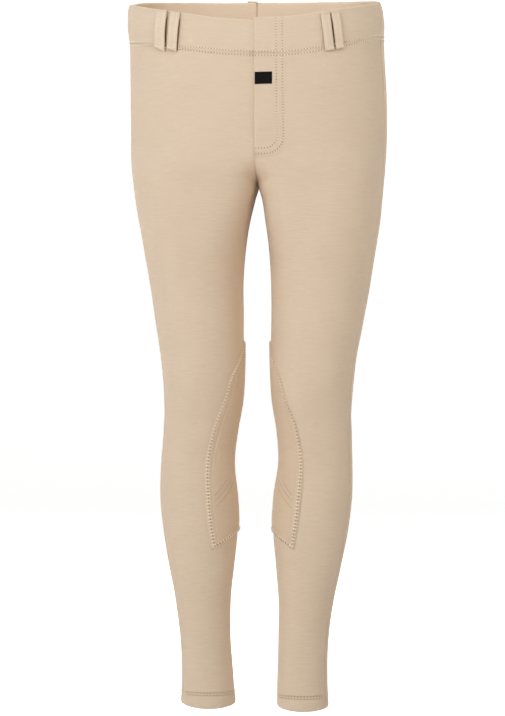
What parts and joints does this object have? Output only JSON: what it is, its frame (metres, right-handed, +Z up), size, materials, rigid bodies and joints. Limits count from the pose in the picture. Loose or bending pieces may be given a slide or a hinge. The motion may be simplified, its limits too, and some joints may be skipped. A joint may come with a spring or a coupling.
{
  "type": "riding breeches",
  "caption": "Child's stretch-knit riding breeches, filled out as if worn and hollow, with knee patches, a lapped fly, belt loops and open hems.",
  "frame": {"origin": "middle of the waist, level with the middle of the rim between its lower front and higher back", "axes": "+Z up along the body, -Y to the front, +X to the wearer's left"},
  "size_m": [0.2909, 0.1897, 0.8041],
  "materials": {
    "knit": "matte sand-coloured stretch knit",
    "waistband_knit": "matte sand-coloured stretch knit, double",
    "loop_knit": "matte sand-coloured stretch knit, stitched",
    "patch_knit": "matte sand-coloured stretch knit",
    "label_weave": "black woven label, blank"
  },
  "bodies": {
    "root": {"front_right": "knit", "front_left": "knit", "back_right": "knit", "back_left": "knit", "band_front_right": "waistband_knit", "band_front_left": "waistband_knit", "band_back_right": "waistband_knit", "band_back_left": "waistband_knit", "loop_right_outer": "loop_knit", "loop_right_inner": "loop_knit", "loop_left_inner": "loop_knit", "loop_left_outer": "loop_knit", "loop_back": "loop_knit", "knee_patch_right": "patch_knit", "knee_patch_left": "patch_knit", "fly_flap": "knit", "label": "label_weave"}
  },
  "joints": []
}
